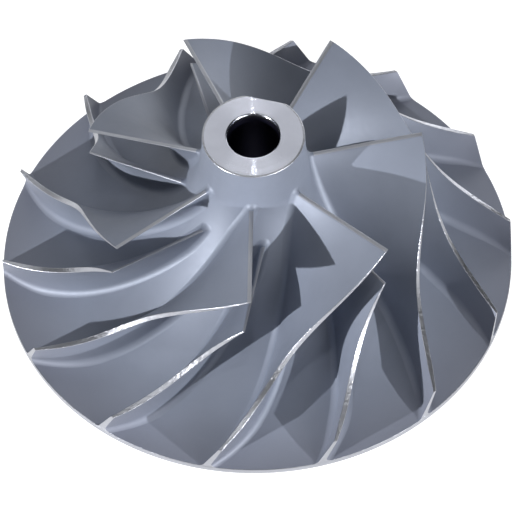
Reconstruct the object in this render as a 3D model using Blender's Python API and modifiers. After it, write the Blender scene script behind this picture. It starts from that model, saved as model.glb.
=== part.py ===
"""Compressor wheel of a large turbocharger.

The real wheel is one piece of aluminium alloy. Here the turned body and each blade are
solids of their own, a hair apart at the blade roots, so that each can be named and the
passages between the blades stay open in a simulation.

The wheel stands on its back with the nose up and its axis on Z. The origin is in the
middle of the back boss, on the plane that the wheel rests on. All lengths are metres.
"""
import math

import bmesh
import bpy
from mathutils import Vector

MM = 0.001

# Driving sizes of the turned body
OUTER_R = 50.0 * MM
BORE_R = 5.0 * MM
BORE_CHAMFER = 0.4 * MM
NOSE_R = 9.9 * MM
NOSE_BREAK = 0.15 * MM
BOSS_R = 14.0 * MM
BOSS_H = 1.0 * MM
RIM_T = 1.2 * MM
RIM_BREAK = 0.1 * MM
DISC_TOP = BOSS_H + RIM_T
LEAD_Z = DISC_TOP + 31.9 * MM
NOSE_Z = DISC_TOP + 40.5 * MM
HUB_LEAD_R = 10.5 * MM

# Hub line, a curve from the leading edges down and out to the rim
HUB_LEAD_SLOPE = math.radians(8.0)
HUB_LEAD_PULL = 12.5 * MM
HUB_RIM_SLOPE = math.radians(2.0)
HUB_RIM_PULL = 20.0 * MM

# Tip line, which clears the compressor cover
TIP_LEAD_R = 33.1 * MM
TIP_RIM_Z = DISC_TOP + 6.2 * MM
TIP_LEAD_SLOPE = math.radians(2.0)
TIP_LEAD_PULL = 9.0 * MM
TIP_RIM_SLOPE = math.radians(16.0)
TIP_RIM_PULL = 18.0 * MM
BLADE_R = OUTER_R - 0.12 * MM

# Blades: seven long ones with a short one in the middle of each gap
LONG_BLADES = 7
PITCH = 2.0 * math.pi / LONG_BLADES
TIP_LEAD_ANGLE = math.radians(216.0)
TIP_TRAIL_ANGLE = math.radians(157.6)
TIP_BOW = (-1.52, 1.60, -0.65)
ROOT_LEAD_ANGLE = math.radians(214.6)
ROOT_TRAIL_ANGLE = math.radians(154.1)
ROOT_BOW = (-0.95, 0.82, 0.145)
SHORT_START_TIP = 0.264
SHORT_START_ROOT = 0.158

# Blade thickness, square to the blade, and the fillet where it meets the hub
TIP_T_LEAD = 0.62 * MM
TIP_T_BODY = 0.95 * MM
TIP_T_TRAIL = 0.58 * MM
ROOT_T = 2.1 * MM
LEAD_SHARE = 0.45
LEAD_TAPER = 0.12
TRAIL_SHARE = 0.5
TRAIL_TAPER = 0.2
FILLET = 1.3 * MM
ROOT_GAP = 0.4 * MM

# Balance cut on the nose, read from the flattened edge of its face
CUT_ANGLE = math.radians(74.0)
CUT_DEPTH = 0.9 * MM
CUT_HEIGHT = 5.0 * MM
CUT_TILT = math.radians(12.0)

# How finely the round shapes are divided
TURN_STEPS = 98
HUB_POINTS = 20
STATIONS = (
    0.0, 0.03, 0.065, 0.105, 0.15, 0.20, 0.255, 0.315, 0.38, 0.45,
    0.525, 0.605, 0.69, 0.775, 0.86, 0.935, 1.0)


def clear_scene():
    for item in list(bpy.data.objects):
        bpy.data.objects.remove(item, do_unlink=True)


def make_collection(name):
    group = bpy.data.collections.new(name)
    bpy.context.scene.collection.children.link(group)
    return group


def make_metal():
    metal = bpy.data.materials.new("cast_aluminium")
    metal.use_nodes = True
    shader = metal.node_tree.nodes["Principled BSDF"]
    shader.inputs["Base Color"].default_value = (0.50, 0.53, 0.58, 1.0)
    shader.inputs["Metallic"].default_value = 0.9
    shader.inputs["Roughness"].default_value = 0.42
    metal.diffuse_color = (0.50, 0.53, 0.58, 1.0)
    return metal


def curve_point(ends, share):
    """Point at a share of the way along a cubic curve given by its four control points."""
    a, b, c, d = ends
    k = 1.0 - share
    return a * k ** 3 + b * 3.0 * k * k * share + c * 3.0 * k * share * share + d * share ** 3


def even_line(ends, samples=400):
    """Function that gives the point at an even share of the curve's length."""
    points = [curve_point(ends, i / samples) for i in range(samples + 1)]
    lengths = [0.0]
    for before, after in zip(points, points[1:]):
        lengths.append(lengths[-1] + (after - before).length)

    def at(share):
        want = min(max(share, 0.0), 1.0) * lengths[-1]
        i = 1
        while i < samples and lengths[i] < want:
            i += 1
        part = (want - lengths[i - 1]) / (lengths[i] - lengths[i - 1])
        return points[i - 1].lerp(points[i], part)

    return at


def meridian(lead, rim, lead_slope, lead_pull, rim_slope, rim_pull):
    """Curve in radius and height from the leading edge to the rim."""
    a = Vector(lead)
    d = Vector(rim)
    b = a + Vector((math.sin(lead_slope), -math.cos(lead_slope))) * lead_pull
    c = d + Vector((-math.cos(rim_slope), math.sin(rim_slope))) * rim_pull
    return even_line((a, b, c, d))


HUB_LINE = meridian(
    (HUB_LEAD_R, LEAD_Z), (OUTER_R, DISC_TOP),
    HUB_LEAD_SLOPE, HUB_LEAD_PULL, HUB_RIM_SLOPE, HUB_RIM_PULL)
TIP_LINE = meridian(
    (TIP_LEAD_R, LEAD_Z), (BLADE_R, TIP_RIM_Z),
    TIP_LEAD_SLOPE, TIP_LEAD_PULL, TIP_RIM_SLOPE, TIP_RIM_PULL)


def wrap(share, lead, trail, bow):
    """Angle around the axis at a share of the blade's length."""
    bend = bow[0] + bow[1] * share + bow[2] * share * share
    return lead + (trail - lead) * share + share * (1.0 - share) * bend


def blade_point(start_root, start_tip, along, up):
    """Point on the blade's middle surface: 'along' runs to the trailing edge, 'up' to the tip."""
    root_share = start_root + (1.0 - start_root) * along
    tip_share = start_tip + (1.0 - start_tip) * along
    root = HUB_LINE(root_share)
    tip = TIP_LINE(tip_share)
    root_angle = wrap(root_share, ROOT_LEAD_ANGLE, ROOT_TRAIL_ANGLE, ROOT_BOW)
    tip_angle = wrap(tip_share, TIP_LEAD_ANGLE, TIP_TRAIL_ANGLE, TIP_BOW)
    root_r = min(root.x, BLADE_R)
    low = Vector((root_r * math.cos(root_angle), root_r * math.sin(root_angle), root.y))
    high = Vector((tip.x * math.cos(tip_angle), tip.x * math.sin(tip_angle), tip.y))
    return low.lerp(high, up), (high - low).length


def rise_share(start_root, start_tip, along, height):
    """Share of the span at which the middle surface stands this high above the hub."""
    share = start_root + (1.0 - start_root) * along
    step = HUB_LINE(min(share + 0.005, 1.0)) - HUB_LINE(max(share - 0.005, 0.0))
    across = Vector((-step.y, step.x)).normalized()
    low, _ = blade_point(start_root, start_tip, along, 0.0)
    high, _ = blade_point(start_root, start_tip, along, 1.0)
    gain = Vector((math.hypot(high.x, high.y) - math.hypot(low.x, low.y), high.z - low.z))
    return height / gain.dot(across)


def ease(share):
    """Smooth step from 0 to 1."""
    share = min(max(share, 0.0), 1.0)
    return share * share * (3.0 - 2.0 * share)


def tip_thickness(along):
    """Thickness at the tip: thin at the lead, thicker along the middle, thin at the rim."""
    swelled = TIP_T_LEAD + (TIP_T_BODY - TIP_T_LEAD) * ease(along / 0.35)
    return swelled + (TIP_T_TRAIL - swelled) * ease((along - 0.85) / 0.15)


def blade_thickness(along, up, height):
    """Thickness square to the blade, with the fillet that widens it near the hub."""
    root = ROOT_T * (TRAIL_SHARE + (1.0 - TRAIL_SHARE) * ease((1.0 - along) / TRAIL_TAPER))
    body = root + (tip_thickness(along) - root) * up ** 0.7
    lead = LEAD_SHARE + (1.0 - LEAD_SHARE) * min(along / LEAD_TAPER, 1.0)
    rest = 1.0 - height / FILLET
    flare = FILLET * (1.0 - math.sqrt(1.0 - rest * rest)) if rest > 0.0 else 0.0
    return body * lead + 2.0 * flare


def blade_pair(start_root, start_tip, along, up, height):
    """The two skin points of the blade that face each other at one place."""
    here, _ = blade_point(start_root, start_tip, along, up)
    before, _ = blade_point(start_root, start_tip, max(along - 0.01, 0.0), up)
    after, _ = blade_point(start_root, start_tip, min(along + 0.01, 1.0), up)
    above, _ = blade_point(start_root, start_tip, along, up + 0.05)
    normal = (after - before).cross(above - here).normalized()
    radius = math.hypot(here.x, here.y)
    around = Vector((-here.y, here.x, 0.0)) / radius
    lean = max(abs(normal.dot(around)), 0.35)
    turn = 0.5 * blade_thickness(along, up, height) / (lean * radius)
    angle = math.atan2(here.y, here.x)
    return [
        Vector((radius * math.cos(angle + k * turn), radius * math.sin(angle + k * turn), here.z))
        for k in (-1.0, 1.0)]


def blade_mesh(name, start_root, start_tip, metal):
    """Closed blade, lofted between sections that change from the leading to the trailing edge."""
    rows = []
    for along in STATIONS:
        unit = rise_share(start_root, start_tip, along, 1.0)
        heights = [ROOT_GAP, 0.45 * FILLET, 0.75 * FILLET, 1.1 * FILLET]
        pairs = [(h * unit, h) for h in heights]
        foot = pairs[-1][0]
        pairs += [(foot + (1.0 - foot) * k, 2.0 * FILLET) for k in (0.33, 0.67, 1.0)]
        rows.append([blade_pair(start_root, start_tip, along, up, h) for up, h in pairs])

    mesh = bmesh.new()
    corner = [[[mesh.verts.new(p) for p in pair] for pair in row] for row in rows]
    last = len(rows) - 1
    top = len(rows[0]) - 1
    for i in range(last):
        for k in range(top):
            for side in (0, 1):
                mesh.faces.new((corner[i][k][side], corner[i + 1][k][side],
                                corner[i + 1][k + 1][side], corner[i][k + 1][side]))
        for k in (0, top):
            mesh.faces.new((corner[i][k][0], corner[i][k][1],
                            corner[i + 1][k][1], corner[i + 1][k][0]))
    for i in (0, last):
        for k in range(top):
            mesh.faces.new((corner[i][k][0], corner[i][k][1],
                            corner[i][k + 1][1], corner[i][k + 1][0]))
    bmesh.ops.recalc_face_normals(mesh, faces=mesh.faces)
    for face in mesh.faces:
        face.smooth = True
    data = bpy.data.meshes.new(name)
    mesh.to_mesh(data)
    mesh.free()
    data.set_sharp_from_angle(angle=math.radians(40.0))
    data.materials.append(metal)
    return data


def turned_body(name, group, metal):
    """Hub, disc and nose as one profile turned about Z."""
    hub = [HUB_LINE(1.0 - i / HUB_POINTS) for i in range(HUB_POINTS + 1)]
    profile = [
        (BORE_R + BORE_CHAMFER, 0.0),
        (BOSS_R, 0.0),
        (BOSS_R + 0.2 * MM, BOSS_H),
        (OUTER_R - RIM_BREAK, BOSS_H),
        (OUTER_R, BOSS_H + RIM_BREAK),
    ]
    profile += [(p.x, p.y) for p in hub]
    profile += [
        (HUB_LEAD_R - 0.45 * MM, LEAD_Z + 4.2 * MM),
        (NOSE_R, NOSE_Z - NOSE_BREAK),
        (NOSE_R - NOSE_BREAK, NOSE_Z),
        (BORE_R + BORE_CHAMFER, NOSE_Z),
        (BORE_R, NOSE_Z - BORE_CHAMFER),
        (BORE_R, BORE_CHAMFER),
    ]
    data = bpy.data.meshes.new(name)
    edges = [(i, (i + 1) % len(profile)) for i in range(len(profile))]
    data.from_pydata([(r, 0.0, z) for r, z in profile], edges, [])
    body = bpy.data.objects.new(name, data)
    body.data.materials.append(metal)
    group.objects.link(body)
    screw = body.modifiers.new("turn", "SCREW")
    screw.axis = "Z"
    screw.angle = 2.0 * math.pi
    screw.steps = TURN_STEPS
    screw.render_steps = TURN_STEPS
    screw.use_merge_vertices = True
    screw.merge_threshold = 0.00001
    screw.use_normal_calculate = True
    screw.use_smooth_shade = True
    return body


def add_blades(group, metal):
    """Seven long and seven short blades, each turned to its own place around the axis."""
    shapes = (
        ("long_blade", 0.0, 0.0),
        ("short_blade", SHORT_START_ROOT, SHORT_START_TIP),
    )
    for kind, (name, start_root, start_tip) in enumerate(shapes):
        data = blade_mesh(name, start_root, start_tip, metal)
        for i in range(LONG_BLADES):
            blade = bpy.data.objects.new(f"{name}_{i + 1}", data)
            blade.rotation_euler = (0.0, 0.0, PITCH * (i + 0.5 * kind))
            group.objects.link(blade)


def add_nose_cut(tools):
    """Block that takes the balance cut off the edge of the nose."""
    bpy.ops.mesh.primitive_cube_add(size=1.0)
    block = bpy.context.active_object
    for group in list(block.users_collection):
        group.objects.unlink(block)
    tools.objects.link(block)
    block.name = "nose_cut_block"
    block.dimensions = (10.0 * MM, 24.0 * MM, 2.0 * CUT_HEIGHT)
    face = NOSE_R - CUT_DEPTH + 5.0 * MM
    block.location = (
        face * math.cos(CUT_ANGLE), face * math.sin(CUT_ANGLE), NOSE_Z)
    block.rotation_euler = (0.0, CUT_TILT, CUT_ANGLE)
    block.hide_render = True
    block.display_type = "WIRE"
    return block


def build():
    clear_scene()
    wheel = make_collection("compressor_wheel")
    tools = make_collection("wheel_tools")
    metal = make_metal()
    body = turned_body("hub_and_back_disc", wheel, metal)
    block = add_nose_cut(tools)
    cut = body.modifiers.new("balance_cut", "BOOLEAN")
    cut.operation = "DIFFERENCE"
    cut.solver = "EXACT"
    cut.object = block
    add_blades(wheel, metal)


build()
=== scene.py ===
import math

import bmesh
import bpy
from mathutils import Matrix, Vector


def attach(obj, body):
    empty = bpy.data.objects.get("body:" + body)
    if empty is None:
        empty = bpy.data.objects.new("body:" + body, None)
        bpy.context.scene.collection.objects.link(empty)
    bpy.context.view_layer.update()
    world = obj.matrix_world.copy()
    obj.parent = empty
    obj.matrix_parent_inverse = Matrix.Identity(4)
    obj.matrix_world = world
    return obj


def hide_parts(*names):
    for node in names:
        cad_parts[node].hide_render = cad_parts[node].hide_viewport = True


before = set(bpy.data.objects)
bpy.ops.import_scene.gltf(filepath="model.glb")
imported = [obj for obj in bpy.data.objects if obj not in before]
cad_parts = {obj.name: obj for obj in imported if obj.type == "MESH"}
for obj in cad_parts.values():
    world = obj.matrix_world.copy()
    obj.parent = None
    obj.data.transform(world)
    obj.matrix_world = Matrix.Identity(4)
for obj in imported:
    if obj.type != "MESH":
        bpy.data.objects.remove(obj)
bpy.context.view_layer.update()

# %% [markdown]
# # A compressor wheel in satin and turned aluminium
# The real wheel is one piece of metal. Its hub flares from a small bright nose down to a thin
# disc, and seven long and seven short blades stand on it. In this lesson the turned body is one
# mesh and every blade is a mesh of its own with its root fillet, all placed in the frame that
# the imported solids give. Nothing is moved: each new mesh takes the place of one solid.

MM = 0.001
print("nodes", sorted(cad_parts))

# %% [markdown]
# ## The two lines that shape a centrifugal wheel
# Designers draw such a wheel in a half section: one line for the hub and one for the blade tips,
# which run close to the cover. Both turn the air from along the axis to outwards. A Bezier curve
# with a slope and a pull given at each end is enough for either. Walking along it by length, not
# by its parameter, keeps the rows of the mesh evenly spaced.

# %% Sizes of the turned body
OUTER_R = 50.0 * MM
BORE_R = 5.0 * MM
NOSE_R = 9.9 * MM
BOSS_R = 14.0 * MM
BOSS_H = 1.0 * MM
DISC_TOP = 2.2 * MM
LEAD_Z = DISC_TOP + 31.9 * MM
NOSE_Z = DISC_TOP + 40.5 * MM
HUB_LEAD_R = 10.5 * MM
TIP_LEAD_R = 33.1 * MM
TIP_RIM_Z = DISC_TOP + 6.2 * MM
NOSE_FOOT = Vector((HUB_LEAD_R - 0.45 * MM, LEAD_Z + 4.2 * MM))
print("height", round(NOSE_Z / MM, 2), "mm, across", round(2.0 * OUTER_R / MM, 2), "mm")

# %% Draw a line of the half section
WALK_STEPS = 2000
TABLE_ROWS = 600


def bezier(ends, share):
    a, b, c, d = ends
    k = 1.0 - share
    return a * k ** 3 + b * 3.0 * k * k * share + c * 3.0 * k * share * share + d * share ** 3


def half_section(lead, rim, lead_slope, lead_pull, rim_slope, rim_pull):
    """Table of radius and height at even lengths along one line of the half section."""
    a = Vector(lead)
    d = Vector(rim)
    b = a + Vector((math.sin(lead_slope), -math.cos(lead_slope))) * lead_pull
    c = d + Vector((-math.cos(rim_slope), math.sin(rim_slope))) * rim_pull
    points = [bezier((a, b, c, d), i / WALK_STEPS) for i in range(WALK_STEPS + 1)]
    lengths = [0.0]
    for before, after in zip(points, points[1:]):
        lengths.append(lengths[-1] + (after - before).length)
    table = []
    j = 1
    for i in range(TABLE_ROWS + 1):
        want = lengths[-1] * i / TABLE_ROWS
        while j < WALK_STEPS and lengths[j] < want:
            j += 1
        part = (want - lengths[j - 1]) / (lengths[j] - lengths[j - 1])
        table.append(points[j - 1].lerp(points[j], part))
    return table, lengths[-1]


HUB_TABLE, HUB_LENGTH = half_section(
    lead=(HUB_LEAD_R, LEAD_Z), rim=(OUTER_R, DISC_TOP),
    lead_slope=math.radians(8.0), lead_pull=12.5 * MM,
    rim_slope=math.radians(2.0), rim_pull=20.0 * MM)
TIP_TABLE, TIP_LENGTH = half_section(
    lead=(TIP_LEAD_R, LEAD_Z), rim=(OUTER_R, TIP_RIM_Z),
    lead_slope=math.radians(2.0), lead_pull=9.0 * MM,
    rim_slope=math.radians(16.0), rim_pull=18.0 * MM)
print("hub line", round(HUB_LENGTH / MM, 2), "mm, tip line", round(TIP_LENGTH / MM, 2), "mm")

# %% Read the two lines


def look_up(table, share):
    """Radius and height at a share of the way from the lead to the rim."""
    place = min(max(share, 0.0), 1.0) * (len(table) - 1)
    i = min(int(place), len(table) - 2)
    return table[i].lerp(table[i + 1], place - i)


def hub_point(share):
    """Radius and height on the hub. A negative share climbs the nose above the blades."""
    if share < 0.0:
        climb = (NOSE_FOOT - HUB_TABLE[0]).normalized()
        return HUB_TABLE[0] + climb * (-share * HUB_LENGTH)
    return look_up(HUB_TABLE, share)


print("hub halfway", [round(v / MM, 2) for v in hub_point(0.5)], "mm")

# %% [markdown]
# ## How a blade wraps round the hub
# Each blade starts across the air stream and ends leaning back from the turn. The angle round
# the axis is a straight fall plus a small bow, one for the root and one for the tip, and the
# blade's middle surface is the set of straight lines between the two, which is how a milling
# cutter sweeps it. Every point of a blade then comes from two shares: along it and up it.

# %% Middle surface of a blade
TIP_WRAP = (math.radians(216.0), math.radians(157.6), (-1.52, 1.60, -0.65))
ROOT_WRAP = (math.radians(214.6), math.radians(154.1), (-0.95, 0.82, 0.145))
LONG_STARTS = (0.0, 0.0)
SHORT_STARTS = (0.158, 0.264)


def wrap_angle(wrap, share):
    lead, trail, bow = wrap
    bend = bow[0] + bow[1] * share + bow[2] * share * share
    return lead + (trail - lead) * share + share * (1.0 - share) * bend


def on_wheel(point, angle):
    """Radius and height of the half section, carried round the axis to this angle."""
    return Vector((point.x * math.cos(angle), point.x * math.sin(angle), point.y))


def wheel_share(start, along):
    """Share of the hub or tip line, for a blade that starts at 'start' on it."""
    return start + (1.0 - start) * along


def middle_surface(starts, along, up):
    """Point at a share 'along' the blade from its leading edge and 'up' from root to tip."""
    root_share = wheel_share(starts[0], along)
    tip_share = wheel_share(starts[1], along)
    low = on_wheel(hub_point(root_share), wrap_angle(ROOT_WRAP, root_share))
    high = on_wheel(look_up(TIP_TABLE, tip_share), wrap_angle(TIP_WRAP, tip_share))
    return low.lerp(high, up)


lead_span = (middle_surface(LONG_STARTS, 0.0, 1.0) - middle_surface(LONG_STARTS, 0.0, 0.0)).length
print("long blade span at the lead", round(lead_span / MM, 2), "mm")

# %% [markdown]
# ## Giving the blade its thickness
# A blade is thick at the root and thin at the tip. Along the tip it starts thin, swells to nearly
# a millimetre and thins again at the rim, and the root is thinner at both ends too. Solidify
# could thicken a plain sheet, but it would push the edges off the surfaces that the lathe left.
# Shifting each point round the axis by half the thickness, divided by how squarely the blade
# faces that way, keeps every point at its own radius and height. So the tips stay on the line of
# the half section, and a long blade's lead stays level.

# %% How thick a blade is
TIP_T_LEAD = 0.62 * MM
TIP_T_BODY = 0.95 * MM
TIP_T_TRAIL = 0.58 * MM
SWELL_OVER = 0.35
THIN_OVER = 0.15
ROOT_T = 2.1 * MM
THINNING = 0.7
LEAD_SHARE = 0.45
LEAD_TAPER = 0.12
TRAIL_SHARE = 0.5
TRAIL_TAPER = 0.2
NOSE_LENGTH = 0.008
LEAD_POWER = 2.3


def ease(share):
    """Smooth step from 0 to 1."""
    share = min(max(share, 0.0), 1.0)
    return share * share * (3.0 - 2.0 * share)


def tip_thickness(along):
    swelled = TIP_T_LEAD + (TIP_T_BODY - TIP_T_LEAD) * ease(along / SWELL_OVER)
    return swelled + (TIP_T_TRAIL - swelled) * ease((along - 1.0 + THIN_OVER) / THIN_OVER)


def lead_roundness(along):
    """Rounded leading edge, a little squarer than an ellipse, from 0 at the very edge to 1."""
    rest = 1.0 - min(along / NOSE_LENGTH, 1.0)
    return max(1.0 - rest ** LEAD_POWER, 0.0) ** (1.0 / LEAD_POWER)


def blade_thickness(along, up):
    """Thickness before the leading edge is rounded."""
    root = ROOT_T * (TRAIL_SHARE + (1.0 - TRAIL_SHARE) * ease((1.0 - along) / TRAIL_TAPER))
    body = root + (tip_thickness(along) - root) * max(up, 0.0) ** THINNING
    return body * (LEAD_SHARE + (1.0 - LEAD_SHARE) * min(along / LEAD_TAPER, 1.0))


print("thickness at mid blade, root and tip", [round(blade_thickness(0.5, up) / MM, 2) for up in (0, 1)])

# %% A point on the skin of a blade
STEP_ALONG = 0.01
STEP_UP = 0.05
LEAST_FACING = 0.35


def blade_normal(starts, along, up):
    """Unit normal of the middle surface, on the side that the positive turn goes to."""
    before = middle_surface(starts, max(along - STEP_ALONG, 0.0), up)
    after = middle_surface(starts, min(along + STEP_ALONG, 1.0), up)
    above = middle_surface(starts, along, up + STEP_UP)
    below = middle_surface(starts, along, up - STEP_UP)
    normal = (after - before).cross(above - below).normalized()
    around = Vector((-after.y, after.x, 0.0))
    return normal if normal.dot(around) > 0.0 else -normal


def facing(starts, along, up):
    """How squarely the blade faces round the axis at this place, from 0 to 1."""
    here = middle_surface(starts, along, up)
    around = Vector((-here.y, here.x, 0.0)).normalized()
    return max(blade_normal(starts, along, up).dot(around), LEAST_FACING)


def skin_point(starts, along, up, side, less=0.0):
    """Point on one side of the blade; 'less' takes a little off each side for a broken edge."""
    here = middle_surface(starts, along, up)
    half = (0.5 * blade_thickness(along, up) - less) * lead_roundness(along)
    turn = side * half / (facing(starts, along, up) * math.hypot(here.x, here.y))
    return Matrix.Rotation(turn, 3, "Z") @ here


tip_width = (skin_point(LONG_STARTS, 0.5, 1.0, 1.0) - skin_point(LONG_STARTS, 0.5, 1.0, -1.0)).length
print("tip at mid blade", round(tip_width / MM, 2), "mm wide, measured round the axis")

# %% [markdown]
# ## The fillet at the root
# Where blade and hub meet, the real wheel has a soft fillet that catches the light as a pale
# band. A Bevel modifier needs a clean joined edge to work on, and a Boolean of fourteen blades
# rarely leaves one. So each blade gets its fillet as its own lowest rows: a short curve leaves
# the hub flat, turns, and runs up the blade. Round the lead the curves fan out ahead of the
# blade, and there and at the rim the radius is smaller. How far a curve reaches depends on the
# angle between blade and hub, as a rolling ball would find.

# %% How far the fillet reaches
FILLET_R = 1.45 * MM
LEAD_FILLET_R = 1.1 * MM
TRAIL_FILLET_R = 0.9 * MM
LEAD_FILLET_OVER = 0.14
TRAIL_FILLET_OVER = 0.18
HUB_STEP = 0.004
COSINE_RANGE = (-0.6, 0.35)


def fillet_radius(along):
    radius = LEAD_FILLET_R + (FILLET_R - LEAD_FILLET_R) * ease(along / LEAD_FILLET_OVER)
    late = ease((along - 1.0 + TRAIL_FILLET_OVER) / TRAIL_FILLET_OVER)
    return radius + (TRAIL_FILLET_R - radius) * late


def fillet_reach(starts, along, side, ahead):
    """Length from the corner to where a rolling ball would touch hub and blade."""
    share = wheel_share(starts[0], along)
    step = hub_point(min(share + HUB_STEP, 1.0)) - hub_point(share - HUB_STEP)
    foot = middle_surface(starts, along, 0.0)
    hub_normal = on_wheel(Vector((-step.y, step.x)), math.atan2(foot.y, foot.x)).normalized()
    cosine = -side * blade_normal(starts, along, 0.0).dot(hub_normal) * (1.0 - ahead)
    cosine = max(min(cosine, COSINE_RANGE[1]), COSINE_RANGE[0])
    return fillet_radius(along) * math.sqrt((1.0 + cosine) / (1.0 - cosine))


print("fillet reach at mid blade, each side",
      [round(fillet_reach(LONG_STARTS, 0.5, side, 0.0) / MM, 2) for side in (1.0, -1.0)], "mm")

# %% One column of points, from the hub to the tip
FILLET_STEPS = 8
FACE_STEPS = 11
CURVE_PULL = 0.58
SKIRT = 1.25
SINK = 0.03 * MM
SKIRT_SINK = 3.0 * SINK
EDGE_BREAK = 0.07 * MM


def on_rim(point):
    """The same point moved straight out to the radius of the rim."""
    grow = OUTER_R / math.hypot(point.x, point.y)
    return Vector((point.x * grow, point.y * grow, point.z))


def blade_column(starts, along, side):
    share = wheel_share(starts[0], along)
    part_round = min(along / NOSE_LENGTH, 1.0)
    ahead = math.cos(0.5 * math.pi * part_round)
    beside = math.sin(0.5 * math.pi * part_round)
    reach = fillet_reach(starts, along, side, ahead)
    foot = skin_point(starts, along, 0.0, side)
    angle = math.atan2(foot.y, foot.x)
    turn = side * beside / (facing(starts, along, 0.0) * math.hypot(foot.x, foot.y))

    def hub_place(far, sink):
        spot = hub_point(share - far * ahead / HUB_LENGTH)
        spot = on_wheel(spot, angle + far * turn)
        inward = Vector((spot.x, spot.y, 0.0)).normalized() * 0.5 * sink
        return spot - inward - Vector((0.0, 0.0, sink))

    span = (skin_point(starts, along, 1.0, side) - foot).length
    first_up = min(reach / span, 0.6)
    last_up = 1.0 - EDGE_BREAK / span
    start = hub_place(reach, SINK)
    toward = (hub_place(0.8 * reach, SINK) - start).normalized() * CURVE_PULL * reach
    end = skin_point(starts, along, first_up, side)
    down = (skin_point(starts, along, first_up - 0.02, side) - end).normalized() * CURVE_PULL * reach
    curve = (start, start + toward, end + down, end)
    column = [hub_place(SKIRT * reach, SKIRT_SINK)]
    column += [bezier(curve, i / FILLET_STEPS) for i in range(FILLET_STEPS + 1)]
    for i in range(1, FACE_STEPS + 1):
        column.append(skin_point(starts, along, first_up + (last_up - first_up) * i / FACE_STEPS, side))
    column.append(skin_point(starts, along, 1.0, side, EDGE_BREAK))
    if along == 1.0:
        column = [on_rim(point) for point in column]
    return column


print("points in a column", len(blade_column(LONG_STARTS, 0.5, 1.0)))

# %% Where the columns stand
LEAD_STEPS = (0.03, 0.12, 0.27, 0.5, 0.75, 1.0)
BODY_STEPS = 58
CROWDING = 1.12
ALONG = [NOSE_LENGTH * k for k in LEAD_STEPS]
ALONG += [NOSE_LENGTH + (1.0 - NOSE_LENGTH) * (i / BODY_STEPS) ** CROWDING for i in range(1, BODY_STEPS + 1)]
print("columns round a blade", 2 * len(ALONG) + 1)

# %% [markdown]
# ## Joining the columns into a closed blade
# The columns go round the blade like the staves of a barrel: up one side from the trailing edge
# to the lead, and back along the other. Neighbours are joined by quads, which is a loft. What is
# left open is the tip, the trailing edge and the underside, and each is closed by joining the
# two sides. Tip and trailing edge get the bright metal, because a lathe cut them, and the lead
# gets a shinier satin, because its rounded edge is rubbed by every hand that holds the wheel.
# Edges sharper than 32 degrees are marked, so a smooth shaded mesh still shows crisp corners.

# %% From a drawn mesh to a piece
SHARP = math.radians(32.0)


def make_piece(name, mesh, metals):
    """Turn a drawn mesh into an object with these metals, and link it to the scene."""
    data = bpy.data.meshes.new(name)
    mesh.to_mesh(data)
    mesh.free()
    for metal in metals:
        data.materials.append(metal)
    piece = bpy.data.objects.new(name, data)
    bpy.context.scene.collection.objects.link(piece)
    return piece


print("corners over", round(math.degrees(SHARP), 1), "degrees stay crisp")

# %% Loft a blade
SATIN_SLOT = 0
BRIGHT_SLOT = 1
LEAD_SLOT = 2
LEAD_COLUMNS = 4


def loft_blade(name, starts, turn, metals):
    mesh = bmesh.new()
    spin = Matrix.Rotation(turn, 3, "Z")
    order = [(a, 1.0) for a in reversed(ALONG)] + [(0.0, 0.0)] + [(a, -1.0) for a in ALONG]
    columns = [[mesh.verts.new(spin @ p) for p in blade_column(starts, a, side)] for a, side in order]
    count = len(columns)
    rows = len(columns[0])
    middle = count // 2

    def join(corners, slot):
        face = mesh.faces.new(corners)
        face.smooth = True
        face.material_index = slot

    for i in range(count - 1):
        left = columns[i]
        right = columns[i + 1]
        on_lead = middle - LEAD_COLUMNS <= i < middle + LEAD_COLUMNS
        for k in range(rows - 1):
            slot = BRIGHT_SLOT if k == rows - 2 else SATIN_SLOT
            if on_lead and k > FILLET_STEPS:
                slot = LEAD_SLOT
            join((left[k], right[k], right[k + 1], left[k + 1]), slot)
    for k in range(rows - 1):
        join((columns[-1][k], columns[0][k], columns[0][k + 1], columns[-1][k + 1]), BRIGHT_SLOT)
    for k, slot in ((0, SATIN_SLOT), (rows - 1, BRIGHT_SLOT)):
        for i in range(middle - 1):
            join((columns[i][k], columns[i + 1][k],
                  columns[count - 2 - i][k], columns[count - 1 - i][k]), slot)
        join((columns[middle - 1][k], columns[middle][k], columns[middle + 1][k]), slot)
    bmesh.ops.recalc_face_normals(mesh, faces=mesh.faces)
    blade = make_piece(name, mesh, metals)
    blade.data.set_sharp_from_angle(angle=SHARP)
    return blade


print("metal slots of a blade", SATIN_SLOT, BRIGHT_SLOT, LEAD_SLOT)

# %% [markdown]
# ## Satin metal
# The blade faces and the hub are as cast and blasted: a grey with a cold tint, soft reflections
# and a faint grain. All the grain comes from noise in object space, so it stays put when the
# wheel or the camera moves. Large slow noise shifts the tone a little, as real castings do, and
# small fast noise goes to the bump and the roughness. Metallic stays at a quarter here: a fully
# metallic shader shades by reflection alone, while a blasted face scatters much of its light and
# keeps an even grey with clear shadows.

# %% Start a metal and give it grain


def new_metal(name, colour, roughness):
    """Principled material with these even values, and its node tree's parts."""
    material = bpy.data.materials.new(name)
    material.use_nodes = True
    material.diffuse_color = (*colour, 1.0)
    shader = material.node_tree.nodes["Principled BSDF"]
    shader.inputs["Metallic"].default_value = 1.0
    shader.inputs["Base Color"].default_value = (*colour, 1.0)
    shader.inputs["Roughness"].default_value = roughness
    return material, material.node_tree.nodes, material.node_tree.links, shader


def grain_noise(nodes, links, place, scale, detail=3.0, rough=0.5):
    """Noise Texture with about this many spots to the metre."""
    noise = nodes.new("ShaderNodeTexNoise")
    noise.inputs["Scale"].default_value = scale
    noise.inputs["Detail"].default_value = detail
    noise.inputs["Roughness"].default_value = rough
    links.new(place, noise.inputs["Vector"])
    return noise.outputs["Fac"]


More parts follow.
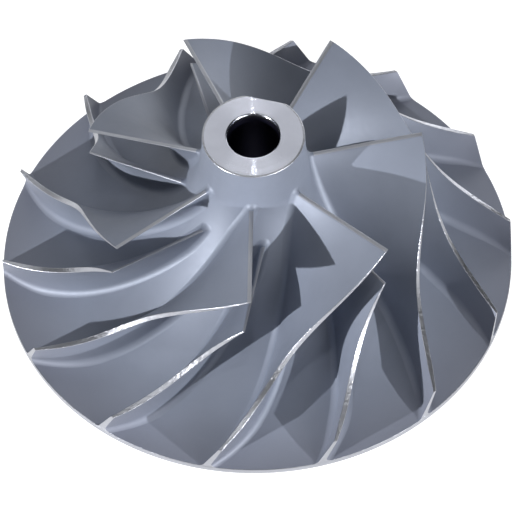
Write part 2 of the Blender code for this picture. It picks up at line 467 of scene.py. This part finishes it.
def tone_steps(nodes, links, value, stops):
    """Color Ramp that gives each stop's colour at its place."""
    ramp = nodes.new("ShaderNodeValToRGB")
    while len(ramp.color_ramp.elements) < len(stops):
        ramp.color_ramp.elements.new(0.5)
    for element, (place, colour) in zip(ramp.color_ramp.elements, stops):
        element.position = place
        element.color = (*colour, 1.0)
    links.new(value, ramp.inputs["Fac"])
    return ramp.outputs["Color"]


print("a metal starts from", new_metal.__name__, "and gets its grain from", grain_noise.__name__)

# %% Spread a value and raise a relief


def spread_between(nodes, links, value, low, high, start=0.0, end=1.0):
    """Map Range: start..end becomes low..high, held at both ends."""
    span = nodes.new("ShaderNodeMapRange")
    span.inputs["From Min"].default_value = start
    span.inputs["From Max"].default_value = end
    span.inputs["To Min"].default_value = low
    span.inputs["To Max"].default_value = high
    links.new(value, span.inputs["Value"])
    return span.outputs["Result"]


def relief(nodes, links, height, depth, strength, below=None):
    """Bump of this depth in metres, over another one if 'below' gives its normal."""
    bump = nodes.new("ShaderNodeBump")
    bump.inputs["Distance"].default_value = depth
    bump.inputs["Strength"].default_value = strength
    links.new(height, bump.inputs["Height"])
    if below is not None:
        links.new(below, bump.inputs["Normal"])
    return bump.outputs["Normal"]


def flat_place(nodes, links, place):
    """The place with its height taken out, and the height by itself."""
    split = nodes.new("ShaderNodeSeparateXYZ")
    flat = nodes.new("ShaderNodeCombineXYZ")
    links.new(place, split.inputs["Vector"])
    links.new(split.outputs["X"], flat.inputs["X"])
    links.new(split.outputs["Y"], flat.inputs["Y"])
    return flat.outputs["Vector"], split.outputs["Z"]


def vector_step(nodes, links, operation, *vectors):
    """Vector Math node that works on these vectors."""
    step = nodes.new("ShaderNodeVectorMath")
    step.operation = operation
    for socket, vector in zip(step.inputs, vectors):
        links.new(vector, socket)
    return step


print("more helpers:", [helper.__name__ for helper in (spread_between, relief, flat_place, vector_step)])

# %% Satin aluminium of the blades and hub
SATIN_COLOUR = (0.189, 0.211, 0.266)
SATIN_WARM = (0.193, 0.205, 0.254)
SATIN_ROUGHNESS = 0.55
SATIN_METALLIC = 0.25
LEAD_COLOUR = (0.33, 0.34, 0.375)
LEAD_ROUGHNESS = 0.46
LEAD_METALLIC = 0.80
WARM_FROM = 37.0 * MM
WARM_TO = 52.0 * MM
CLOUDS_PER_METRE = 55.0
PITS_PER_METRE = 900.0
GRAINS_PER_METRE = 4200.0
PIT_DEPTH = 0.02 * MM
GRAIN_DEPTH = 0.01 * MM
RELIEF_STRENGTH = 0.3


def satin_metal(name, base, warm, roughness, metallic):
    """Blasted cast metal, whose tone 'base' turns into 'warm' toward the rim."""
    material, nodes, links, shader = new_metal(name, base, roughness)
    shader.inputs["Metallic"].default_value = metallic
    place = nodes.new("ShaderNodeTexCoord").outputs["Object"]
    cloud = grain_noise(nodes, links, place, CLOUDS_PER_METRE, 4.0, 0.55)
    grain = grain_noise(nodes, links, place, GRAINS_PER_METRE, 2.0, 0.6)
    pits = grain_noise(nodes, links, place, PITS_PER_METRE)
    dark = tuple(c * 0.90 for c in base)
    pale = tuple(c * 1.09 for c in base)
    tone = tone_steps(nodes, links, cloud, ((0.30, dark), (0.50, base), (0.72, pale)))
    flat, _ = flat_place(nodes, links, place)
    far = vector_step(nodes, links, "LENGTH", flat).outputs["Value"]
    near_rim = spread_between(nodes, links, far, 0.0, 1.0, WARM_FROM, WARM_TO)
    mix = nodes.new("ShaderNodeMix")
    mix.data_type = "RGBA"
    mix.inputs["B"].default_value = (*warm, 1.0)
    links.new(near_rim, mix.inputs["Factor"])
    links.new(tone, mix.inputs["A"])
    links.new(mix.outputs["Result"], shader.inputs["Base Color"])
    dullness = spread_between(nodes, links, pits, roughness - 0.05, roughness + 0.05)
    links.new(dullness, shader.inputs["Roughness"])
    pitted = relief(nodes, links, pits, PIT_DEPTH, RELIEF_STRENGTH)
    grained = relief(nodes, links, grain, GRAIN_DEPTH, RELIEF_STRENGTH, pitted)
    links.new(grained, shader.inputs["Normal"])
    return material


satin = satin_metal("satin_aluminium", SATIN_COLOUR, SATIN_WARM, SATIN_ROUGHNESS, SATIN_METALLIC)
lead_edge = satin_metal("rubbed_lead_edge", LEAD_COLOUR, LEAD_COLOUR, LEAD_ROUGHNESS, LEAD_METALLIC)
print("made", satin.name, lead_edge.name)

# %% [markdown]
# ## Turned metal
# A lathe leaves fine grooves round the axis. They spread each highlight across the grooves and
# keep it short along them, so a turned face shows bright rays like the ones on a polished pan.
# The Anisotropic value does that, with a tangent that runs round Z. The Principled shader draws
# its highlight out along the tangent, so a rotation of a quarter turn lays it across the
# grooves. A ring pattern made from the distance to the axis and the height gives the grooves:
# on edges as bumps, and on the flat nose as walls that lean to and fro, which Bump can't show
# there because the grooves are finer than a pixel.

# %% Rings and the walls of grooves
WALL_SPAN = (0.3, 0.7)


def ring_pattern(nodes, links, place, per_metre, detail):
    """Noise read only by distance from the axis and by height, so it makes rings."""
    flat, height = flat_place(nodes, links, place)
    both = nodes.new("ShaderNodeCombineXYZ")
    links.new(vector_step(nodes, links, "LENGTH", flat).outputs["Value"], both.inputs["X"])
    links.new(height, both.inputs["Y"])
    return grain_noise(nodes, links, both.outputs["Vector"], per_metre, detail, 0.7)


def groove_walls(nodes, links, place, per_metre, slope):
    """Normal that leans to and fro across the rings, as the walls of fine grooves do."""
    flat, _ = flat_place(nodes, links, place)
    outward = vector_step(nodes, links, "NORMALIZE", flat).outputs["Vector"]
    to_world = nodes.new("ShaderNodeVectorTransform")
    to_world.convert_from = "OBJECT"
    to_world.convert_to = "WORLD"
    links.new(outward, to_world.inputs["Vector"])
    cuts = ring_pattern(nodes, links, place, per_metre, 0.0)
    lean = vector_step(nodes, links, "SCALE", to_world.outputs["Vector"])
    links.new(spread_between(nodes, links, cuts, -slope, slope, *WALL_SPAN), lean.inputs["Scale"])
    normal = nodes.new("ShaderNodeNewGeometry").outputs["Normal"]
    leaned = vector_step(nodes, links, "ADD", lean.outputs["Vector"], normal)
    return vector_step(nodes, links, "NORMALIZE", leaned.outputs["Vector"]).outputs["Vector"]


print("groove walls read the ring noise from", *WALL_SPAN)

# %% Turned aluminium of the nose, rim, tips and bore
QUARTER_TURN = 0.25
STAINS_PER_METRE = 160.0
BURRS_PER_METRE = 1700.0
WALLS_PER_RING = 3.0


def turned_metal(name, colour, roughness, anisotropy, per_metre, grooves=0.0, burr=0.0, slope=0.0):
    """Lathe-cut metal with this many rings to the metre.

    'grooves' and 'burr' are the depths of its rings and of its rough spots. Where 'slope' is
    given, the rings are groove walls that lean this far instead.
    """
    material, nodes, links, shader = new_metal(name, colour, roughness)
    place = nodes.new("ShaderNodeTexCoord").outputs["Object"]
    rings = ring_pattern(nodes, links, place, per_metre, 3.0)
    cloud = grain_noise(nodes, links, place, STAINS_PER_METRE)
    dark = tuple(c * 0.92 for c in colour)
    tone = tone_steps(nodes, links, cloud, ((0.35, dark), (0.65, colour)))
    dullness = spread_between(nodes, links, rings, roughness * 0.8, roughness * 1.2)
    links.new(tone, shader.inputs["Base Color"])
    links.new(dullness, shader.inputs["Roughness"])
    if slope > 0.0:
        normal = groove_walls(nodes, links, place, WALLS_PER_RING * per_metre, slope)
    else:
        spots = grain_noise(nodes, links, place, BURRS_PER_METRE, 2.0)
        rough_spots = relief(nodes, links, spots, burr, 1.0)
        normal = relief(nodes, links, rings, grooves, 1.0, rough_spots)
    links.new(normal, shader.inputs["Normal"])
    shader.inputs["Anisotropic"].default_value = anisotropy
    shader.inputs["Anisotropic Rotation"].default_value = QUARTER_TURN
    tangent = nodes.new("ShaderNodeTangent")
    tangent.direction_type = "RADIAL"
    tangent.axis = "Z"
    links.new(tangent.outputs["Tangent"], shader.inputs["Tangent"])
    return material


turned_face = turned_metal(
    "turned_face", colour=(0.76, 0.78, 0.88), roughness=0.126, anisotropy=1.0,
    per_metre=22000.0, slope=0.10)
turned_edge = turned_metal(
    "turned_edge", colour=(0.42, 0.43, 0.47), roughness=0.34, anisotropy=0.3,
    per_metre=5000.0, grooves=0.004 * MM, burr=0.11 * MM)
# The bore's metal is painted nearly black: painted shade for its deep, unlit inside, not the colour of honed
# metal.
honed_bore_painted_shade = turned_metal(
    "honed_bore_painted_shade", colour=(0.05, 0.05, 0.095), roughness=0.35, anisotropy=0.2,
    per_metre=5000.0, grooves=0.005 * MM)
bore_lip = turned_metal(
    "bore_lip", colour=(0.50, 0.52, 0.58), roughness=0.22, anisotropy=0.2,
    per_metre=5000.0, grooves=0.002 * MM)
print("made", turned_face.name, turned_edge.name, honed_bore_painted_shade.name, bore_lip.name)

# %% [markdown]
# ## Fourteen blades round the hub
# On the real wheel all blades of a kind are alike, and each short one stands in the middle
# between two long ones. An Array modifier could repeat one blade round the axis, but here every
# blade takes the place of its own solid, so each is lofted again at its own angle.

# %% Place all fourteen blades
LONG_BLADES = 7
PITCH = 2.0 * math.pi / LONG_BLADES

for i in range(LONG_BLADES):
    for kind, starts, half in (("long", LONG_STARTS, 0.0), ("short", SHORT_STARTS, 0.5)):
        name = f"{kind}_blade_skin_{i + 1}"
        blade = loft_blade(name, starts, PITCH * (i + half), (satin, turned_edge, lead_edge))
        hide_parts(f"{kind}_blade_{i + 1}")
        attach(blade, "root")
print("faces in a blade", len(blade.data.polygons))

# %% [markdown]
# ## The turned body
# Hub, disc, nose and bore are one outline spun round the axis, which is how a lathe makes them.
# Each point of the outline has a radius, a height and the finish of the stretch that follows:
# the nose and rim bright, the hub satin, and the bore honed, with its metal painted nearly black
# as painted shade for its deep, unlit inside. Small arcs break the edges of nose and bore, because
# a real edge is never knife sharp and it catches the light. The outline is denser than the
# solid's, so the curve looks round.

# %% Outline from the back of the bore to the top of the hub
RIM_BREAK = 0.12 * MM
BORE_BREAK = 0.40 * MM
BORE_BREAK_DEEP = 0.8 * MM
BOSS_SLANT = 0.2 * MM
HUB_ROWS = 70
HUB_FROM = 0.0015
SATIN, FACE, EDGE, BORE, LIP = range(5)

outline = [(BORE_R + BORE_BREAK, 0.0, FACE), (BOSS_R, 0.0, FACE), (BOSS_R + BOSS_SLANT, BOSS_H, FACE)]
outline += [(BOSS_R + (OUTER_R - BOSS_R) * k, BOSS_H, FACE) for k in (0.25, 0.5, 0.75)]
outline += [(OUTER_R - RIM_BREAK, BOSS_H, EDGE), (OUTER_R, BOSS_H + RIM_BREAK, EDGE)]
outline += [(OUTER_R, DISC_TOP - 0.5 * RIM_BREAK, EDGE)]
outline += [(*hub_point(1.0 - i / HUB_ROWS - HUB_FROM), SATIN) for i in range(HUB_ROWS)]
outline += [(*HUB_TABLE[0], SATIN), (*HUB_TABLE[0].lerp(NOSE_FOOT, 0.5), SATIN), (*NOSE_FOOT, SATIN)]
print("points up to the nose", len(outline))

# %% Outline of the nose and the bore
NOSE_BREAK = 0.18 * MM
ROUND_STEPS = 6
BENDS = [0.5 * math.pi * i / ROUND_STEPS for i in range(ROUND_STEPS + 1)]

for bend in BENDS:
    outline.append((NOSE_R - NOSE_BREAK * (1.0 - math.cos(bend)),
                    NOSE_Z - NOSE_BREAK * (1.0 - math.sin(bend)), EDGE))
outline += [(NOSE_R + (BORE_R - NOSE_R) * k, NOSE_Z, FACE) for k in (0.08, 0.3, 0.6)]
outline.append((BORE_R + 1.2 * BORE_BREAK, NOSE_Z, FACE))
for bend in BENDS:
    outline.append((BORE_R + BORE_BREAK * (1.0 - math.sin(bend)),
                    NOSE_Z - BORE_BREAK_DEEP * (1.0 - math.cos(bend)), LIP if bend < BENDS[-1] else BORE))
outline += [(BORE_R, NOSE_Z + (BORE_BREAK - NOSE_Z) * k, BORE) for k in (0.2, 0.4, 0.6, 0.8)]
outline.append((BORE_R, BORE_BREAK, EDGE))
print("points in the outline", len(outline))

# %% Turn the outline round the axis
TURN_STEPS = 360


def turn_outline(name, points, steps, metals):
    mesh = bmesh.new()
    rings = []
    for j in range(steps):
        spin = Matrix.Rotation(2.0 * math.pi * j / steps, 3, "Z")
        rings.append([mesh.verts.new(spin @ Vector((r, 0.0, z))) for r, z, _ in points])
    for j in range(steps):
        here = rings[j]
        there = rings[(j + 1) % steps]
        for k in range(len(points)):
            m = (k + 1) % len(points)
            face = mesh.faces.new((here[k], there[k], there[m], here[m]))
            face.smooth = True
            face.material_index = points[k][2]
    bmesh.ops.recalc_face_normals(mesh, faces=mesh.faces)
    return make_piece(name, mesh, metals)


finishes = (satin, turned_face, turned_edge, honed_bore_painted_shade, bore_lip)
body = turn_outline("turned_body", outline, TURN_STEPS, finishes)
print("faces in the turned body", len(body.data.polygons))

# %% [markdown]
# ## The balance cut
# After balancing, a little metal was milled off the far edge of the nose. A tilted block takes
# the same bite here with a Boolean. The modifier's result is kept as the final mesh at once, and
# the block is deleted, so nothing is left to work out later.

# %% Mill the flat on the nose
CUT_ANGLE = math.radians(74.0)
CUT_DEPTH = 0.9 * MM
CUT_TILT = math.radians(12.0)
BLOCK = (10.0 * MM, 24.0 * MM, 10.0 * MM)

mesh = bmesh.new()
bmesh.ops.create_cube(mesh, size=1.0)
bmesh.ops.scale(mesh, vec=BLOCK, verts=mesh.verts)
block = make_piece("nose_cut_block", mesh, (turned_edge,))
cut_r = NOSE_R - CUT_DEPTH + 0.5 * BLOCK[0]
block.location = (cut_r * math.cos(CUT_ANGLE), cut_r * math.sin(CUT_ANGLE), NOSE_Z)
block.rotation_euler = (0.0, CUT_TILT, CUT_ANGLE)
bite = body.modifiers.new("balance_cut", "BOOLEAN")
bite.operation = "DIFFERENCE"
bite.solver = "EXACT"
bite.object = block
bpy.context.view_layer.update()
cut_data = bpy.data.meshes.new_from_object(body.evaluated_get(bpy.context.evaluated_depsgraph_get()))
body.modifiers.clear()
body.data = cut_data
bpy.data.objects.remove(block, do_unlink=True)
cut_data.set_sharp_from_angle(angle=SHARP)
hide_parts("hub_and_back_disc")
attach(body, "root")
print("faces after the cut", len(cut_data.polygons), "slots", [m.name for m in cut_data.materials])

# %% [markdown]
# ## Floor
# The wheel stands on a plain pale floor. The floor glows, so it stays white even where the wheel
# shades it. With its Diffuse visibility off, that glow lights no matte surface, so the passages
# between the blades stay deep. Glossy reflections still see it.

# %% Lay the floor
FLOOR_HALF = 4.0
FLOOR_TONE = (0.35, 0.35, 0.35, 1.0)
FLOOR_GLOW = 0.88

paper = bpy.data.materials.new("pale_floor")
paper.use_nodes = True
shader = paper.node_tree.nodes["Principled BSDF"]
shader.inputs["Base Color"].default_value = FLOOR_TONE
shader.inputs["Roughness"].default_value = 0.9
shader.inputs["Emission Color"].default_value = (1.0, 1.0, 1.0, 1.0)
shader.inputs["Emission Strength"].default_value = FLOOR_GLOW
mesh = bmesh.new()
bmesh.ops.create_grid(mesh, x_segments=1, y_segments=1, size=FLOOR_HALF)
floor = make_piece("floor", mesh, (paper,))
floor.visible_diffuse = False
print("floor", [round(v, 2) for v in floor.dimensions])

# %% [markdown]
# ## Lamps
# Two small low lamps, one on each side of the camera, rake across the blades and throw the long
# shadows that show their twist. A small lamp high above adds a second, fainter set. Broad soft
# boxes fill in what the lamps miss, and a tiny lamp behind the wheel draws the two rays on the
# nose. Metal shows what it reflects, so the lamps' places matter more here than on painted
# things. The low lamps' places come from shadows: a lamp lies on the line from the corner of a
# shadow through the corner of the blade that throws it.

# %% Hang the lamps
LAMP_FAR = 1.5
LAMP_TINT = (0.98, 0.99, 1.0)
AIM = Vector((0.0, 0.0, 18.0 * MM))


def soft_lamp(name, azimuth, elevation, spread, light):
    """Round lamp seen from the wheel at these angles, giving this much light there."""
    data = bpy.data.lights.new(name, "AREA")
    data.shape = "DISK"
    data.size = 2.0 * LAMP_FAR * math.tan(math.radians(0.5 * spread))
    data.energy = math.pi * LAMP_FAR ** 2 * light
    data.color = LAMP_TINT
    lamp = bpy.data.objects.new(name, data)
    a = math.radians(azimuth)
    e = math.radians(elevation)
    away = Vector((math.cos(a) * math.cos(e), math.sin(a) * math.cos(e), math.sin(e)))
    lamp.location = AIM + away * LAMP_FAR
    lamp.rotation_euler = away.to_track_quat("Z", "Y").to_euler()
    bpy.context.scene.collection.objects.link(lamp)


LAMPS = (
    ("low_left_lamp", 215.5, 12.0, 0.9, 4.6),
    ("low_right_lamp", 318.5, 13.5, 0.9, 3.15),
    ("low_right_box", 300.0, 12.0, 24.0, 0.80),
    ("top_lamp", 270.0, 76.0, 1.5, 0.24),
    ("top_box", 270.0, 60.0, 30.0, 0.06),
    ("left_box", 225.0, 34.0, 30.0, 0.08),
    ("top_left_box", 210.0, 60.0, 30.0, 0.32),
    ("top_right_box", 322.0, 44.0, 30.0, 0.33),
    ("nose_box", 90.0, 54.0, 44.0, 0.30),
    ("nose_lamp", 90.5, 68.0, 0.8, 0.020),
    ("back_left_box", 135.0, 34.0, 30.0, 0.30),
    ("back_box", 90.0, 28.0, 30.0, 0.36),
    ("back_low_box", 55.0, 12.0, 30.0, 0.75),
)
for lamp in LAMPS:
    soft_lamp(*lamp)
print("lamps", [lamp[0] for lamp in LAMPS])

# %% [markdown]
# ## The room round the wheel
# A bright room would fill every shadow, and a dark one would show behind the wheel in views from
# low down. So the world is nearly black to the metal and pale to the camera, where it looks past
# the floor. The Light Path node's Is Camera Ray tells the two apart.

# %% World: dim for the metal, pale for the camera
world = bpy.data.worlds.new("studio")
bpy.context.scene.world = world
world.use_nodes = True
nodes = world.node_tree.nodes
links = world.node_tree.links
dim = nodes["Background"]
dim.inputs["Color"].default_value = (0.92, 0.96, 1.0, 1.0)
dim.inputs["Strength"].default_value = 0.02
pale = nodes.new("ShaderNodeBackground")
pale.inputs["Color"].default_value = (0.95, 0.95, 0.95, 1.0)
mix = nodes.new("ShaderNodeMixShader")
links.new(nodes.new("ShaderNodeLightPath").outputs["Is Camera Ray"], mix.inputs["Fac"])
links.new(dim.outputs["Background"], mix.inputs[1])
links.new(pale.outputs["Background"], mix.inputs[2])
links.new(mix.outputs["Shader"], nodes["World Output"].inputs["Surface"])
print("world", world.name, "with nodes", len(nodes))

# %% [markdown]
# ## Camera
# The photograph was taken from about 54 degrees above, from so far off that the wheel shows
# almost no perspective. A long lens at its true distance gives the same flattened ellipses.
# The slight roll and the aim a hair off the axis were fitted on the rim and the nose. The
# Standard view shows the tones as lamps and metals give them, with no film curve on top.

# %% Place the camera
CAMERA_ELEVATION = math.radians(54.23)
CAMERA_FAR = 1.2233
CAMERA_ROLL = math.radians(-1.86)
AIM_RIGHT = -0.0002
AIM_UP = 0.0005
LENS = 436.7

data = bpy.data.cameras.new("camera")
data.lens = LENS
data.sensor_width = 36.0
data.clip_start = 0.05
data.clip_end = 20.0
camera = bpy.data.objects.new("camera", data)
away = Vector((0.0, -math.cos(CAMERA_ELEVATION), math.sin(CAMERA_ELEVATION)))
aside = Vector((1.0, 0.0, 0.0))
aim = (-away + AIM_RIGHT * aside + AIM_UP * aside.cross(-away)).normalized()
turned = aim.to_track_quat("-Z", "Y").to_matrix() @ Matrix.Rotation(CAMERA_ROLL, 3, "Z")
stand = away * CAMERA_FAR + Vector((0.0, 0.0, DISC_TOP))
camera.matrix_world = Matrix.Translation(stand) @ turned.to_4x4()
bpy.context.scene.collection.objects.link(camera)
bpy.context.scene.camera = camera
bpy.context.scene.view_settings.view_transform = "Standard"
print("camera at", [round(v, 4) for v in camera.matrix_world.translation])
